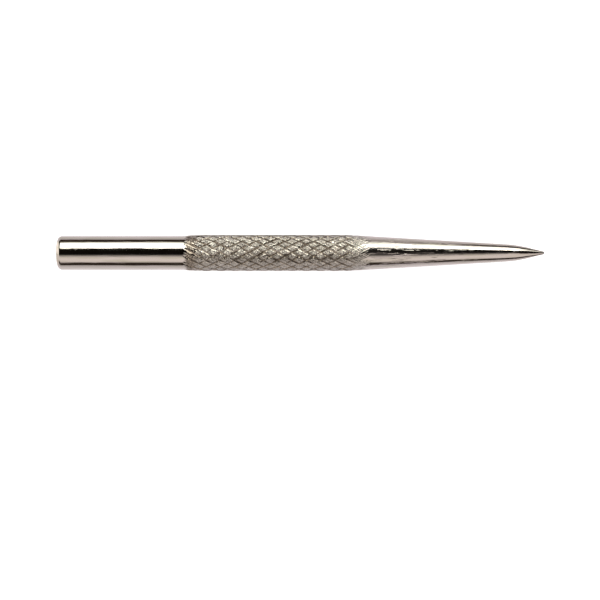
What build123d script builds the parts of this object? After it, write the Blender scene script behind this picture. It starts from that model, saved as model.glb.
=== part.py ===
from build123d import *
import os
from math import radians, sin, tan

# Center punch, one solid steel bar.
# The bar lies along +X with its point towards +X, and +Z is up.
# The origin is the centre of the striking face. Sizes are in millimetres.

# Driving dimensions
LENGTH = 100.0
SHANK_DIAMETER = 7.0
GRIP_DIAMETER = 7.5

# Striking end: a flat face with a generous rounded edge
HEAD_ROUNDING = 1.0

# Grip: the knurled band, plain here at the height of the knurl's crests
GRIP_START = 26.1
GRIP_LEAD_IN = 1.6

# Working end: a long ground taper blended into a short point
TAPER_START = 59.3
TAPER_HALF_ANGLE = radians(3.4)
POINT_HALF_ANGLE = radians(14.0)
POINT_BLEND_RADIUS = 25.0
TIP_RADIUS = 0.35

# Derived places along the bar
shank_radius = SHANK_DIAMETER / 2
grip_radius = GRIP_DIAMETER / 2
tip_centre = LENGTH - TIP_RADIUS
sharp_apex = tip_centre + TIP_RADIUS / sin(POINT_HALF_ANGLE)
tip_edge_x = tip_centre + TIP_RADIUS * sin(POINT_HALF_ANGLE)
tip_edge_radius = (sharp_apex - tip_edge_x) * tan(POINT_HALF_ANGLE)
taper_slope = tan(TAPER_HALF_ANGLE)
point_slope = tan(POINT_HALF_ANGLE)
corner_x = (sharp_apex * point_slope - grip_radius - TAPER_START * taper_slope) / (point_slope - taper_slope)
corner_radius = (sharp_apex - corner_x) * point_slope

with BuildPart() as center_punch:
    # Half outline of the bar, above its axis, turned once round the axis
    with BuildSketch(Plane.XZ) as half_outline:
        with BuildLine():
            Polyline(
                (LENGTH, 0),
                (0, 0),
                (0, shank_radius),
                (GRIP_START, shank_radius),
                (GRIP_START + GRIP_LEAD_IN, grip_radius),
                (TAPER_START, grip_radius),
                (corner_x, corner_radius),
                (tip_edge_x, tip_edge_radius),
            )
            RadiusArc((tip_edge_x, tip_edge_radius), (LENGTH, 0), TIP_RADIUS)
        make_face()
        head_edge = half_outline.vertices().sort_by_distance((0, shank_radius))[0]
        fillet(head_edge, HEAD_ROUNDING)
        point_corner = half_outline.vertices().sort_by_distance((corner_x, corner_radius))[0]
        fillet(point_corner, POINT_BLEND_RADIUS)
    revolve(axis=Axis.X)

center_punch.part.label = "center_punch"

os.makedirs("parts", exist_ok=True)
export_step(center_punch.part, "parts/center_punch.step")
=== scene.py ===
import math

import bpy
import numpy as np
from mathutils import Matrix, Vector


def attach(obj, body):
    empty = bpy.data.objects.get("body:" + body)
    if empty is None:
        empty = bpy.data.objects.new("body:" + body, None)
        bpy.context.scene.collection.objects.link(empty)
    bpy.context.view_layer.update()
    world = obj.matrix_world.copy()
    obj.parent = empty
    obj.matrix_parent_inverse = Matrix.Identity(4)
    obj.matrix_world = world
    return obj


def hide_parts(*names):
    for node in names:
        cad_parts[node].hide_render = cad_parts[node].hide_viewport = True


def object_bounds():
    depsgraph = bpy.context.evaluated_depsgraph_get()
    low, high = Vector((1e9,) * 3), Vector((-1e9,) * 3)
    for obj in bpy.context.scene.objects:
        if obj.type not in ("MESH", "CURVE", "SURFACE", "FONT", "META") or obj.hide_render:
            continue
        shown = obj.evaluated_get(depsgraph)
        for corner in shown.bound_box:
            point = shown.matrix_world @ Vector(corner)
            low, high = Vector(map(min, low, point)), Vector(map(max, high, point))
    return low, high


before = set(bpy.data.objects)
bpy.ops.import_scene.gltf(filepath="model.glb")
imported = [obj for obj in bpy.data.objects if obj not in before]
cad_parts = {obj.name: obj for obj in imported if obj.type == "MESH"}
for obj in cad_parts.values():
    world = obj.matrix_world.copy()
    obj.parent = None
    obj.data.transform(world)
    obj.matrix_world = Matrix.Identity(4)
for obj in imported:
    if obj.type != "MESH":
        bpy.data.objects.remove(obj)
cad_low, cad_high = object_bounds()

# ---------------------------------------------------------------------------
# Driving dimensions of the bar, in millimetres, as in the CAD part
# ---------------------------------------------------------------------------
MM = 0.001
LENGTH = (cad_high.x - cad_low.x) / MM
GRIP_RADIUS = 3.75
SHANK_RADIUS = 3.5
HEAD_ROUNDING = 1.0
TAPER_START = 59.3
TAPER_HALF_ANGLE = math.radians(3.4)
POINT_HALF_ANGLE = math.radians(14.0)
POINT_BLEND_RADIUS = 25.0
TIP_RADIUS = 0.35

# Knurl: two families of helical grooves, one of each hand
KNURL_STARTS = 14           # deep grooves of one hand round the bar
KNURL_LEAD_PITCH = 2.919    # axial distance from one deep groove to the next
KNURL_START = 25.8
KNURL_END = 64.6
DEEP_GROOVE = 0.21          # depth of the deepest lines
# Each line of a hand's pattern: place between two deep grooves as a share of the pitch, depth, width
# square to the line, and where along the bar it runs out
DEEP_LINE = (0.0, DEEP_GROOVE, 1.2, 62.6)
MIDDLE_LINE = (0.5, 0.10, 0.42, 64.2)
FINE_LINES = ((0.25, 0.10, 0.40, 64.8), (0.75, 0.10, 0.40, 64.8))
LEAD_OUT = 3.5              # length over which each line runs out
CROWN_POWER = 3.0           # 1 for flat flanks, more for pillow-shaped lands
CROSSING_POWER = 6.0        # how sharply the two hands' grooves meet
# Each hand: way it turns, start, lead-in, share of the full depth, lines
HANDS = (
    (-1, KNURL_START, 1.5, 0.95, (DEEP_LINE, MIDDLE_LINE)),
    (1, 27.6, 1.8, 1.05, (DEEP_LINE, MIDDLE_LINE) + FINE_LINES),
)
KNURL_SEED = 5
DEPTH_SCATTER = 0.12        # groove to groove, as a share of its depth
PATCH_SCATTER = 0.25        # along each groove, as a share of its depth
PATCH_LIMITS = (0.2, 1.6)   # least and most of a groove's depth that a patch leaves
PATCH_WAVES = 24            # waves summed into the patches
PATCH_LENGTH = 1.6          # shortest patch along the bar
PATCH_TURNS = 14            # most patches round the bar

# Where the finishes change along the bar
TURNED_END = 0.5            # end of the striking face's turning marks
TURNED_FADE = 0.3
KNURL_FADE_IN = 1.2
KNURL_FADE_OUT = 3.0
GRINDING_START = 60.0       # coarse grinding, which fades in on the taper
GRINDING_FADE_IN = 3.0
GRINDING_EASES = 70.0       # and eases off towards the point
GRINDING_EASING = 18.0
GRINDING_LEFT = 0.2         # share of it that is left at the point

# Mesh density
COLUMNS = 168               # vertices in each ring
RINGS_PER_PITCH = 24
FACE_RINGS = 5
ROUNDING_RINGS = 16
SHANK_RINGS = 20
TAPER_RINGS = 30
POINT_RINGS = 40
TIP_RINGS = 9
INNER_RING = 0.5            # radius of the face's smallest ring, in millimetres
FINE_TAPER_START = 90.0     # where the closer rings of the point begin
SLOPE_STEP = 0.004          # distance over which slopes are measured

# ---------------------------------------------------------------------------
# Finish of the steel. Scales are features per metre, heights are in metres
# ---------------------------------------------------------------------------
SMOOTH_COLOUR = (0.70, 0.63, 0.57)
STAIN_COLOUR = (0.62, 0.575, 0.48)
STAIN_SCALE = (160.0, 1500.0, 1500.0)
STAIN_LEVELS = (0.4, 0.7)           # noise levels between which the stain comes in
KNURL_COLOUR = (0.62, 0.575, 0.50)
# Painted shade: the knurl darkens towards this colour with groove depth, standing in for the shade down in
# its grooves
GROOVE_SHADE_COLOUR = (0.34, 0.282, 0.22)
GROOVE_FULL_SHADE = 0.85                  # share of the deepest groove's depth that has the full painted groove shade
CLOUD_SCALE = 350.0
SMOOTH_ROUGHNESS = (0.05, 0.14)     # from the clearest to the cloudiest polish
KNURL_ROUGHNESS = (0.08, 0.18)      # on the crests and in the deepest grooves
GROUND_DULLING = 0.05               # roughness added where the steel was ground
COARSE_DETAIL = 3.0                 # noise detail of the stains and the clouds
FINE_DETAIL = 2.0                   # and of the streaks and the grain
GRAIN_SCALE = 2000.0
GRAIN_HEIGHT = 0.00014
STREAK_SCALE = (220.0, 3800.0, 3800.0)
STREAK_LEVELS = (0.56, 0.8)         # noise levels between which a streak rises
STREAK_HEIGHT = 0.00003
STREAK_SHARE = 0.2                  # height of the streaks where the steel wasn't ground
RING_SCALE = 1000.0
RING_DISTORTION = 0.8
RING_HEIGHT = 0.00001

# ---------------------------------------------------------------------------
# Light tent: brightness of its parts, and their places in degrees
# ---------------------------------------------------------------------------
NONE = (0, 0, 0)                    # ends of a mask
FULL = (1, 1, 1)
WHOLE_TURN = 360                    # width of a ramp over the angle round the bar
HALF_TURN = 180                     # width of a ramp over a height or the angle along the bar
WHITE_PANEL = (2.9, 2.95, 2.82)
WARM_PANEL = (0.855, 0.80, 0.785)
END_GLOW = (1.35, 1.3, 1.25)
END_SHADE = (0.35, 0.32, 0.30)
DARK = (0.005, 0.004, 0.003)
DARK_WALL = (0.03, 0.02, 0.015)
PALE_WALL = (0.50, 0.48, 0.48)
TABLE_FAR = (0.62, 0.59, 0.62)
TABLE_NEAR = (0.90, 0.87, 0.93)
# The panels' inner edges, from overhead towards +Y: each fades between its two angles
WHITE_EDGE = (28.0, 34.0)
WARM_EDGE = (-37.5, -10.0)
# The edges aren't straight: how far each lies towards +Y, at angles from overhead towards +X
WHITE_SLANT = ((4.0, 0.0), (9.0, 14.0), (12.3, 5.0), (20.0, 3.0), (32.0, 14.0))
WARM_SLANT = (
    (4.0, 0.0),
    (9.6, -2.5),
    (10.8, -8.0),
    (12.3, 7.0),
    (15.0, 16.0),
    (22.0, 14.0),
    (34.0, 4.0),
)
SLANT_RANGE = 40.0                  # more than twice the largest slant
# The white panel is brightest near overhead: two angles towards +Y, and its share at each
WHITE_FADE = (36.0, 72.0)
WHITE_SHARE = (1.6, 0.5)
# Ends of the panels, of the glow past the striking face and of the wall's pale stretch, from
# overhead towards +X: each fades in between its first two angles, out between its last two
WHITE_SPAN = (-21.0, -15.0, 20.0, 43.0)
WARM_SPAN = (30.0, 55.0)            # fades out only
END_GLOW_SPAN = (-84.0, -76.0, -47.0, -39.0)
PALE_SPAN = (5.0, 6.5, 9.5, 10.2)
# Heights above the horizon. The wall fades in at its foot and out at its top
WALL_TOP = (11.0, 24.0)
WALL_FOOT = (-12.2, -5.2)
TABLE_EDGE = -60.0                  # the table has its near brightness from here down
# How the wall leans
WALL_LEAN = 3.2                     # about X
WALL_RISE = -6.0                    # about Y

# ---------------------------------------------------------------------------
# Floor and camera, in millimetres
# ---------------------------------------------------------------------------
FLOOR_HALF = 3000.0
FLOOR_SHADE = (0.9, 0.9, 0.9)
FLOOR_ROUGHNESS = 0.9
FLOOR_GLOW = 0.8
CAMERA_X = 49.8
CAMERA_Y = -9.675
CAMERA_HEIGHT = 340.0
VIEW_WIDTH = 123.33                 # width of the view at the bar's axis
SENSOR_WIDTH = 36.0


# ---------------------------------------------------------------------------
# Shape of the bar
# ---------------------------------------------------------------------------
def ground_radius(x):
    """Radius of the ground end: the long taper, the blend, the point and its rounded tip."""
    taper_slope = math.tan(TAPER_HALF_ANGLE)
    point_slope = math.tan(POINT_HALF_ANGLE)
    apex = LENGTH - TIP_RADIUS + TIP_RADIUS / math.sin(POINT_HALF_ANGLE)
    corner_x = (apex * point_slope - GRIP_RADIUS - TAPER_START * taper_slope) / (point_slope - taper_slope)
    corner_r = (apex - corner_x) * point_slope

    reach = POINT_BLEND_RADIUS * math.tan((POINT_HALF_ANGLE - TAPER_HALF_ANGLE) / 2)
    blend_start = corner_x - reach * math.cos(TAPER_HALF_ANGLE)
    blend_end = corner_x + reach * math.cos(POINT_HALF_ANGLE)
    centre_x = blend_start - POINT_BLEND_RADIUS * math.sin(TAPER_HALF_ANGLE)
    start_r = corner_r + reach * math.sin(TAPER_HALF_ANGLE)
    centre_r = start_r - POINT_BLEND_RADIUS * math.cos(TAPER_HALF_ANGLE)

    taper = GRIP_RADIUS - (x - TAPER_START) * taper_slope
    point = (apex - x) * point_slope
    blend = centre_r + np.sqrt(np.maximum(POINT_BLEND_RADIUS**2 - (x - centre_x) ** 2, 0))
    radius = np.where(x < blend_start, taper, np.where(x < blend_end, blend, point))

    tip_centre = LENGTH - TIP_RADIUS
    tip = np.sqrt(np.maximum(TIP_RADIUS**2 - (x - tip_centre) ** 2, 0))
    return np.where(x > tip_centre + TIP_RADIUS * math.sin(POINT_HALF_ANGLE), tip, radius)


def smooth_step(t):
    """0 up to t = 0, 1 from t = 1, and an even S between."""
    t = np.clip(t, 0, 1)
    return t * t * (3 - 2 * t)


def patches(x, angle, rng):
    """A smooth random field over the surface, mostly between -1 and 1, that closes round the bar."""
    field = np.zeros(np.broadcast(x, angle).shape)
    for _ in range(PATCH_WAVES):
        turns = rng.integers(-PATCH_TURNS, PATCH_TURNS + 1)
        along = rng.uniform(-1, 1) * 2 * math.pi / PATCH_LENGTH
        field = field + np.cos(turns * angle + along * x + rng.uniform(0, 2 * math.pi))
    return field * math.sqrt(2 / PATCH_WAVES)


def groove_depth(x, angle, hand, lines, scatter):
    """Depth of one hand's grooves at a place on the bar, from 0 on the lands between them."""
    around_pitch = 2 * math.pi * GRIP_RADIUS / KNURL_STARTS
    square_pitch = around_pitch * KNURL_LEAD_PITCH / math.hypot(around_pitch, KNURL_LEAD_PITCH)
    phase = KNURL_STARTS * angle / (2 * math.pi) + hand * x / KNURL_LEAD_PITCH
    depth = np.zeros_like(phase)
    for (place, full_depth, width, end), line_scatter in zip(lines, scatter):
        offset = phase - place
        line = np.round(offset)
        away = np.abs(offset - line) * square_pitch / (width / 2)
        factor = line_scatter[line.astype(int) % KNURL_STARTS] * smooth_step((end - x) / LEAD_OUT)
        groove = full_depth * factor * np.clip(1 - away, 0, 1) ** CROWN_POWER
        depth = np.maximum(depth, groove)
    return depth


def bar_radius(x, angle):
    """Radius of the finished bar between the rounded head and the tip."""
    rng = np.random.default_rng(KNURL_SEED)
    depth = np.zeros(np.broadcast(x, angle).shape)
    rise = np.zeros_like(depth)
    for hand, start, lead_in, strength, lines in HANDS:
        scatter = strength * (1 + DEPTH_SCATTER * rng.uniform(-1, 1, (len(lines), KNURL_STARTS)))
        bite = smooth_step((x - start) / lead_in)
        patchy = np.clip(1 + PATCH_SCATTER * patches(x, angle, rng), *PATCH_LIMITS)
        depth = depth + (bite * patchy * groove_depth(x, angle, hand, lines, scatter)) ** CROSSING_POWER
        rise = rise + bite / len(HANDS)
    depth = depth ** (1 / CROSSING_POWER)
    blank = SHANK_RADIUS + (GRIP_RADIUS - SHANK_RADIUS) * rise
    return np.where(x < TAPER_START, blank, np.minimum(blank, ground_radius(x))) - depth


# ---------------------------------------------------------------------------
# Rings of vertices along the bar
# ---------------------------------------------------------------------------
def ring_angles(row):
    """Angles of one ring's vertices. Alternate rings are turned by half a step."""
    return (np.arange(COLUMNS) + 0.5 * (row % 2)) * 2 * math.pi / COLUMNS


def revolved_ring(row, x, radius, lean):
    """A ring of a plain turned surface. lean is the normal's angle towards +X, in radians."""
    angle = ring_angles(row)
    around = np.stack([np.zeros(COLUMNS), np.cos(angle), np.sin(angle)], 1)
    points = around * radius + np.array([x, 0, 0])
    normals = around * math.cos(lean) + np.array([math.sin(lean), 0, 0])
    return points, normals


def shaped_ring(row, x):
    """A ring of the bar's length, with normals from the slopes of its surface."""
    angle = ring_angles(row)
    turn = SLOPE_STEP / GRIP_RADIUS
    radius = bar_radius(x, angle)
    along = (bar_radius(x + SLOPE_STEP, angle) - bar_radius(x - SLOPE_STEP, angle)) / (2 * SLOPE_STEP)
    across = (bar_radius(x, angle + turn) - bar_radius(x, angle - turn)) / (2 * turn) / radius
    out = np.stack([np.zeros(COLUMNS), np.cos(angle), np.sin(angle)], 1)
    side = np.stack([np.zeros(COLUMNS), -np.sin(angle), np.cos(angle)], 1)
    points = out * radius[:, None] + np.array([x, 0, 0])
    normals = out - side * across[:, None] - np.outer(along, [1, 0, 0])
    return points, normals / np.linalg.norm(normals, axis=1)[:, None]


def ring_places():
    """Places along the bar of the rings between the head's rounding and the tip's, in order."""
    shank = np.linspace(HEAD_ROUNDING, KNURL_START, SHANK_RINGS, endpoint=False)
    knurl = np.arange(KNURL_START, KNURL_END, KNURL_LEAD_PITCH / RINGS_PER_PITCH)
    taper = np.linspace(KNURL_END, FINE_TAPER_START, TAPER_RINGS, endpoint=False)
    tip_edge = LENGTH - TIP_RADIUS * (1 - math.sin(POINT_HALF_ANGLE))
    point = np.linspace(FINE_TAPER_START, tip_edge, POINT_RINGS)
    # The knurl's last ring would crowd the taper's first
    return np.concatenate([shank, knurl[:-1], taper, point])


def punch_rings():
    """All rings from the striking face to the tip, as (points, normals) pairs."""
    rings = []
    flat_radius = SHANK_RADIUS - HEAD_ROUNDING
    for radius in np.linspace(INNER_RING, flat_radius, FACE_RINGS, endpoint=False):
        rings.append(revolved_ring(len(rings), 0, radius, -math.pi / 2))
    for lean in np.linspace(-math.pi / 2, 0, ROUNDING_RINGS, endpoint=False):
        x = HEAD_ROUNDING * (1 + math.sin(lean))
        radius = flat_radius + HEAD_ROUNDING * math.cos(lean)
        rings.append(revolved_ring(len(rings), x, radius, lean))
    for x in ring_places():
        rings.append(shaped_ring(len(rings), x))
    for lean in np.linspace(POINT_HALF_ANGLE, math.pi / 2, TIP_RINGS + 1, endpoint=False)[1:]:
        x = LENGTH - TIP_RADIUS * (1 - math.sin(lean))
        rings.append(revolved_ring(len(rings), x, TIP_RADIUS * math.cos(lean), lean))
    return rings


def punch_faces(ring_count):
    """Triangles between the rings, and a fan to the centre point at each end."""
    faces = []
    column = np.arange(COLUMNS)
    after = (column + 1) % COLUMNS
    for row in range(ring_count - 1):
        near = 1 + row * COLUMNS
        far = near + COLUMNS
        if row % 2:
            faces.append(np.stack([near + column, near + after, far + after], 1))
            faces.append(np.stack([near + column, far + after, far + column], 1))
        else:
            faces.append(np.stack([near + column, near + after, far + column], 1))
            faces.append(np.stack([near + after, far + after, far + column], 1))
    last = 1 + (ring_count - 1) * COLUMNS
    tip = last + COLUMNS
    faces.append(np.stack([np.zeros(COLUMNS, int), 1 + after, 1 + column], 1))
    faces.append(np.stack([last + column, last + after, np.full(COLUMNS, tip)], 1))
    return np.concatenate(faces)


def finish_masks(points):
    """How much of each finish every vertex has, from 0 to 1."""
    x = points[:, 0]
    radius = np.hypot(points[:, 1], points[:, 2])
    blank = np.minimum(GRIP_RADIUS, ground_radius(x))
    fade_in = smooth_step((x - KNURL_START) / KNURL_FADE_IN)
    fade_out = smooth_step((KNURL_END - x) / KNURL_FADE_OUT)
    knurled = fade_in * fade_out
    grinding = smooth_step((x - GRINDING_START) / GRINDING_FADE_IN)
    easing = smooth_step((x - GRINDING_EASES) / GRINDING_EASING)
    return {
        # Groove depth: sets both the knurl's roughness and where its painted groove shade goes
        "groove": knurled * np.clip((blank - radius) / DEEP_GROOVE, 0, 1),
        "knurled": knurled,
        "ground": grinding * (1 - (1 - GRINDING_LEFT) * easing),
        "turned": smooth_step((TURNED_END - x) / TURNED_FADE),
    }


def build_punch():
    """The whole punch as one closed mesh, in metres."""
    rings = punch_rings()
    points = [np.array([[0, 0, 0]])] + [r[0] for r in rings] + [np.array([[LENGTH, 0, 0]])]
    normals = [np.array([[-1, 0, 0]])] + [r[1] for r in rings] + [np.array([[1, 0, 0]])]
    points = np.concatenate(points)
    normals = np.concatenate(normals)

    mesh = bpy.data.meshes.new("center_punch_steel")
    mesh.from_pydata((points * MM).tolist(), [], punch_faces(len(rings)).tolist())
    mesh.update()
    mesh.shade_smooth()
    mesh.normals_split_custom_set_from_vertices(normals.tolist())
    for name, values in finish_masks(points).items():
        attribute = mesh.attributes.new(name, "FLOAT", "POINT")
        attribute.data.foreach_set("value", values.astype(np.float32))

    punch = bpy.data.objects.new("punch_steel", mesh)
    bpy.context.scene.collection.objects.link(punch)
    return punch


# ---------------------------------------------------------------------------
# Shader nodes
# ---------------------------------------------------------------------------
def node(tree, kind, **values):
    """Adds a node. Values name its properties, or its inputs by their names with spaces as _."""
    made = tree.nodes.new(kind)
    for key, value in values.items():
        if hasattr(made, key):
            setattr(made, key, value)
        else:
            made.inputs[key.replace("_", " ")].default_value = value
    return made


def ramp(tree, factor, stops):
    """A colour ramp along a factor. stops are (place, (r, g, b)) pairs in rising order."""
    made = tree.nodes.new("ShaderNodeValToRGB")
    made.color_ramp.interpolation = "EASE"
    elements = made.color_ramp.elements
    elements.remove(elements[-1])
    elements[0].position = stops[0][0]
    elements[0].color = (*stops[0][1], 1)
    for place, colour in stops[1:]:
        elements.new(place).color = (*colour, 1)
    tree.links.new(factor, made.inputs[0])
    return made.outputs[0]


def math_node(tree, operation, *values):
    """A math node. Each value is a number or another node's output."""
    made = tree.nodes.new("ShaderNodeMath")
    made.operation = operation
    for slot, value in enumerate(values):
        if isinstance(value, (int, float)):
            made.inputs[slot].default_value = value
        else:
            tree.links.new(value, made.inputs[slot])
    return made.outputs[0]


def mix_colour(tree, factor, first, second):
    """The first colour where the factor is 0, the second where it is 1. Each is a tuple or an output."""
    # A Mix node's colours are its inputs 6 and 7, and its output 2
    made = tree.nodes.new("ShaderNodeMix")
    made.data_type = "RGBA"
    tree.links.new(factor, made.inputs["Factor"])
    for slot, value in ((6, first), (7, second)):
        if isinstance(value, tuple):
            made.inputs[slot].default_value = (*value, 1)
        else:
            tree.links.new(value, made.inputs[slot])
    return made.outputs[2]


def map_range(tree, value, **values):
    """A value moved from one range, 0 to 1 unless given, to another."""
    made = node(tree, "ShaderNodeMapRange", **values)
    tree.links.new(value, made.inputs["Value"])
    return made.outputs[0]


def noise(tree, place, scale, detail):
    """Noise over the object. scale is one number, or a tuple with one for each axis."""
    if isinstance(scale, tuple):
        stretched = node(tree, "ShaderNodeMapping")
        stretched.inputs["Scale"].default_value = scale
        tree.links.new(place, stretched.inputs["Vector"])
        place = stretched.outputs[0]
        scale = 1.0
    made = node(tree, "ShaderNodeTexNoise", Scale=scale, Detail=detail)
    tree.links.new(place, made.inputs["Vector"])
    return made.outputs["Fac"]


def bump(tree, height, share, distance, below=None):
    """The normal of a relief. height and share are multiplied; below is the normal that it lies on."""
    made = node(tree, "ShaderNodeBump", Strength=1.0, Distance=distance)
    tree.links.new(math_node(tree, "MULTIPLY", height, share), made.inputs["Height"])
    if below is not None:
        tree.links.new(below, made.inputs["Normal"])
    return made.outputs[0]


# ---------------------------------------------------------------------------
# The steel's finish
# ---------------------------------------------------------------------------
def finish_mask(tree, name):
    """One of the mesh's finish masks."""
    return node(tree, "ShaderNodeAttribute", attribute_name=name).outputs["Fac"]


def steel_colour(tree, place, groove, knurled):
    """Bright nickel, faintly stained along the bar, with painted shade that makes it browner and darker
    down in the knurl's grooves.
    """
    stain = noise(tree, place, STAIN_SCALE, COARSE_DETAIL)
    smooth = ramp(tree, stain, list(zip(STAIN_LEVELS, (SMOOTH_COLOUR, STAIN_COLOUR))))
    # Painted shade: darker with groove depth, from the knurl's colour to the groove shade colour
    shaded_knurl = ramp(tree, groove, [(0.0, KNURL_COLOUR), (GROOVE_FULL_SHADE, GROOVE_SHADE_COLOUR)])
    return mix_colour(tree, knurled, smooth, shaded_knurl)


def steel_roughness(tree, place, groove, knurled, ground):
    """Cloudy polish, duller with depth in the knurl and where the taper was ground."""
    cloud = noise(tree, place, CLOUD_SCALE, COARSE_DETAIL)
    smooth = map_range(tree, cloud, To_Min=SMOOTH_ROUGHNESS[0], To_Max=SMOOTH_ROUGHNESS[1])
    rough = map_range(tree, groove, To_Min=KNURL_ROUGHNESS[0], To_Max=KNURL_ROUGHNESS[1])
    # A Mix node's numbers are its inputs 2 and 3
    blend = node(tree, "ShaderNodeMix", data_type="FLOAT")
    tree.links.new(knurled, blend.inputs[0])
    tree.links.new(smooth, blend.inputs[2])
    tree.links.new(rough, blend.inputs[3])
    dulled = map_range(tree, ground, To_Min=0.0, To_Max=GROUND_DULLING)
    return math_node(tree, "ADD", blend.outputs[0], dulled)


def steel_relief(tree, place, knurled, ground):
    """Normal of the finest marks: polishing streaks, the face's turning marks and the knurl's grain."""
    # Streaks are fine round the bar, drawn out along it, and strongest where the taper was ground
    streak = noise(tree, place, STREAK_SCALE, FINE_DETAIL)
    scratch = map_range(tree, streak, From_Min=STREAK_LEVELS[0], From_Max=STREAK_LEVELS[1])
    streak_share = map_range(tree, ground, To_Min=STREAK_SHARE, To_Max=1.0)
    streaked = bump(tree, scratch, streak_share, STREAK_HEIGHT)

    rings = node(tree, "ShaderNodeTexWave", wave_type="RINGS", rings_direction="X")
    rings.inputs["Scale"].default_value = RING_SCALE
    rings.inputs["Distortion"].default_value = RING_DISTORTION
    tree.links.new(place, rings.inputs["Vector"])
    ringed = bump(tree, rings.outputs["Fac"], finish_mask(tree, "turned"), RING_HEIGHT, streaked)

    # Centred on zero, so that the grain's fading in at the knurl's ends doesn't tilt the surface
    grain = math_node(tree, "SUBTRACT", noise(tree, place, GRAIN_SCALE, FINE_DETAIL), 0.5)
    return bump(tree, grain, knurled, GRAIN_HEIGHT, ringed)


def plated_steel():
    """Bright nickel on polished steel, duller down in the knurl, and darker there with painted shade."""
    material = bpy.data.materials.new("plated_steel")
    material.use_nodes = True
    tree = material.node_tree
    tree.nodes.clear()
    link = tree.links.new
    place = node(tree, "ShaderNodeTexCoord").outputs["Object"]
    groove = finish_mask(tree, "groove")
    knurled = finish_mask(tree, "knurled")
    ground = finish_mask(tree, "ground")

    steel = node(tree, "ShaderNodeBsdfPrincipled", Metallic=1.0)
    link(steel_colour(tree, place, groove, knurled), steel.inputs["Base Color"])
    link(steel_roughness(tree, place, groove, knurled, ground), steel.inputs["Roughness"])
    link(steel_relief(tree, place, knurled, ground), steel.inputs["Normal"])
    output = node(tree, "ShaderNodeOutputMaterial")
    link(steel.outputs[0], output.inputs[0])
    return material


# ---------------------------------------------------------------------------
# Studio: floor, surroundings and camera
# ---------------------------------------------------------------------------
def build_floor():
    """A pale floor under the bar. The steel doesn't mirror it, and mirrors the tent's table instead."""
    half = FLOOR_HALF * MM
    floor_z = -GRIP_RADIUS * MM
    outline = [(-half, -half), (half, -half), (half, half), (-half, half)]
    corners = [(x, y, floor_z) for x, y in outline]
    mesh = bpy.data.meshes.new("floor")
    mesh.from_pydata(corners, [], [(0, 1, 2, 3)])
    floor = bpy.data.objects.new("floor", mesh)
    bpy.context.scene.collection.objects.link(floor)
    material = bpy.data.materials.new("pale_floor")
    material.use_nodes = True
    paper = material.node_tree.nodes["Principled BSDF"]
    paper.inputs["Base Color"].default_value = (*FLOOR_SHADE, 1)
    paper.inputs["Roughness"].default_value = FLOOR_ROUGHNESS
    paper.inputs["Emission Color"].default_value = (1, 1, 1, 1)
    paper.inputs["Emission Strength"].default_value = FLOOR_GLOW
    mesh.materials.append(material)
    floor.visible_glossy = False


def angle_ramp(tree, angle, span, stops):
    """A colour ramp over an angle in radians, with its stops in degrees.

    span is the whole ramp's width in degrees, and its middle is at 0.
    """
    place = math_node(tree, "MULTIPLY_ADD", angle, math.degrees(1) / span, 0.5)
    return ramp(tree, place, [(degrees / span + 0.5, colour) for degrees, colour in stops])


def past_slant(tree, around, along, slant):
    """The angle round the bar less an edge's slant.

    slant is (angle along the bar, shift) pairs in degrees.
    """
    stops = [(degrees, (0.5 - shift / SLANT_RANGE,) * 3) for degrees, shift in slant]
    level = angle_ramp(tree, along, HALF_TURN, stops)
    slant_range = math.radians(SLANT_RANGE)
    shift = math_node(tree, "MULTIPLY_ADD", level, slant_range, -slant_range / 2)
    return math_node(tree, "ADD", around, shift)


def span_ramp(tree, along, span, outside, inside):
    """One colour inside a span of angles along the bar and another outside it."""
    return angle_ramp(tree, along, HALF_TURN, list(zip(span, (outside, inside, inside, outside))))


def overhead_panels(tree, around, along, to_white, to_warm):
    """The white panel on +Y, the warm one on -Y and the dark gap between them."""
    share = map_range(
        tree,
        around,
        From_Min=math.radians(WHITE_FADE[0]),
        From_Max=math.radians(WHITE_FADE[1]),
        To_Min=WHITE_SHARE[0],
        To_Max=WHITE_SHARE[1],
    )
    white = node(tree, "ShaderNodeVectorMath", operation="SCALE")
    tree.links.new(span_ramp(tree, along, WHITE_SPAN, DARK, WHITE_PANEL), white.inputs[0])
    tree.links.new(share, white.inputs["Scale"])
    warm = angle_ramp(tree, along, HALF_TURN, list(zip(WARM_SPAN, (WARM_PANEL, DARK))))
    return mix_colour(tree, to_white, mix_colour(tree, to_warm, DARK, warm), white.outputs[0])


def wall_and_table(tree, height, along, to_white):
    """The dark wall, with its pale stretch on +Y, and the table below it."""
    table = angle_ramp(tree, height, HALF_TURN, [(TABLE_EDGE, TABLE_NEAR), (WALL_FOOT[0], TABLE_FAR)])
    far_wall = span_ramp(tree, along, PALE_SPAN, DARK_WALL, PALE_WALL)
    wall = mix_colour(tree, to_white, DARK_WALL, far_wall)
    over_table = angle_ramp(tree, height, HALF_TURN, list(zip(WALL_FOOT, (NONE, FULL))))
    return mix_colour(tree, over_table, table, wall)


def end_glow(tree, along, to_warm):
    """What stands past the striking face: a glow, warm on -Y, and shade at its far end."""
    far_end = angle_ramp(tree, along, HALF_TURN, list(zip(END_GLOW_SPAN[:2], (FULL, NONE))))
    return mix_colour(tree, far_end, mix_colour(tree, to_warm, END_GLOW, WARM_PANEL), END_SHADE)


def leaned_height(tree, direction):
    """Height above the horizon, in radians, as the leaning wall counts it."""
    lean = node(tree, "ShaderNodeVectorRotate", rotation_type="EULER_XYZ")
    lean.inputs["Rotation"].default_value = (math.radians(WALL_LEAN), math.radians(WALL_RISE), 0)
    tree.links.new(direction, lean.inputs["Vector"])
    leaned = node(tree, "ShaderNodeSeparateXYZ")
    tree.links.new(lean.outputs[0], leaned.inputs[0])
    return math_node(tree, "ARCSINE", leaned.outputs["Z"])


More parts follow.
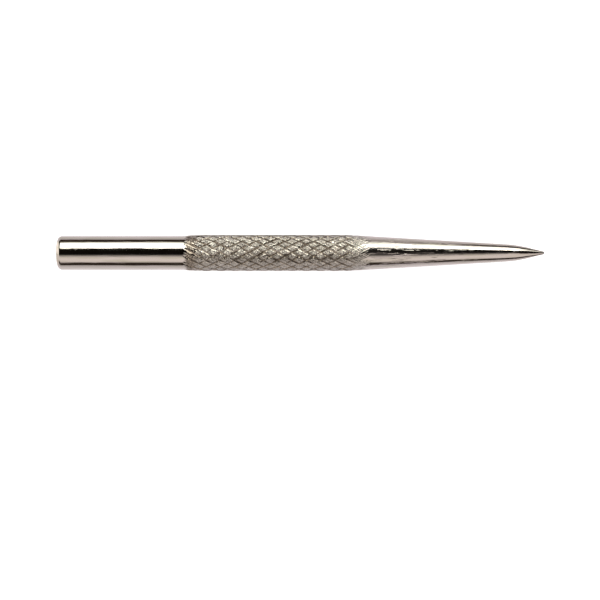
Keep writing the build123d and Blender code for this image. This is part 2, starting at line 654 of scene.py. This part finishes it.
def build_surroundings():
    """A light tent as the steel sees it, and a plain white backdrop as the camera sees it."""
    world = bpy.data.worlds.new("light_tent")
    bpy.context.scene.world = world
    world.use_nodes = True
    tree = world.node_tree
    tree.nodes.clear()
    link = tree.links.new

    direction = node(tree, "ShaderNodeTexCoord").outputs["Generated"]
    split = node(tree, "ShaderNodeSeparateXYZ")
    link(direction, split.inputs[0])
    around = math_node(tree, "ARCTAN2", split.outputs["Y"], split.outputs["Z"])
    along = math_node(tree, "ARCSINE", split.outputs["X"])
    from_white = past_slant(tree, around, along, WHITE_SLANT)
    from_warm = past_slant(tree, around, along, WARM_SLANT)
    to_white = angle_ramp(tree, from_white, WHOLE_TURN, list(zip(WHITE_EDGE, (NONE, FULL))))
    to_warm = angle_ramp(tree, from_warm, WHOLE_TURN, list(zip(WARM_EDGE, (FULL, NONE))))

    height = leaned_height(tree, direction)
    above_wall = angle_ramp(tree, height, HALF_TURN, list(zip(WALL_TOP, (NONE, FULL))))
    past_end = angle_ramp(tree, along, HALF_TURN, list(zip(END_GLOW_SPAN[2:], (FULL, NONE))))
    panels = overhead_panels(tree, around, along, to_white, to_warm)
    sides = mix_colour(tree, above_wall, wall_and_table(tree, height, along, to_white), panels)
    tent = node(tree, "ShaderNodeBackground")
    link(mix_colour(tree, past_end, sides, end_glow(tree, along, to_warm)), tent.inputs[0])

    backdrop = node(tree, "ShaderNodeBackground", Color=(1, 1, 1, 1), Strength=1.0)
    ray = node(tree, "ShaderNodeLightPath")
    pick = node(tree, "ShaderNodeMixShader")
    link(ray.outputs["Is Camera Ray"], pick.inputs[0])
    link(tent.outputs[0], pick.inputs[1])
    link(backdrop.outputs[0], pick.inputs[2])
    output = node(tree, "ShaderNodeOutputWorld")
    link(pick.outputs[0], output.inputs[0])


def build_camera():
    """A camera that looks straight down on the lying bar."""
    data = bpy.data.cameras.new("camera")
    data.sensor_width = SENSOR_WIDTH
    data.lens = SENSOR_WIDTH * CAMERA_HEIGHT / VIEW_WIDTH
    data.clip_start = 0.01
    data.clip_end = 10.0
    camera = bpy.data.objects.new("camera", data)
    camera.location = (CAMERA_X * MM, CAMERA_Y * MM, CAMERA_HEIGHT * MM)
    bpy.context.scene.collection.objects.link(camera)
    bpy.context.scene.camera = camera


build_camera()
build_floor()
build_surroundings()
bpy.context.scene.view_settings.view_transform = "Standard"

punch = build_punch()
punch.data.materials.append(plated_steel())
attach(punch, "root")
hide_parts("center_punch")
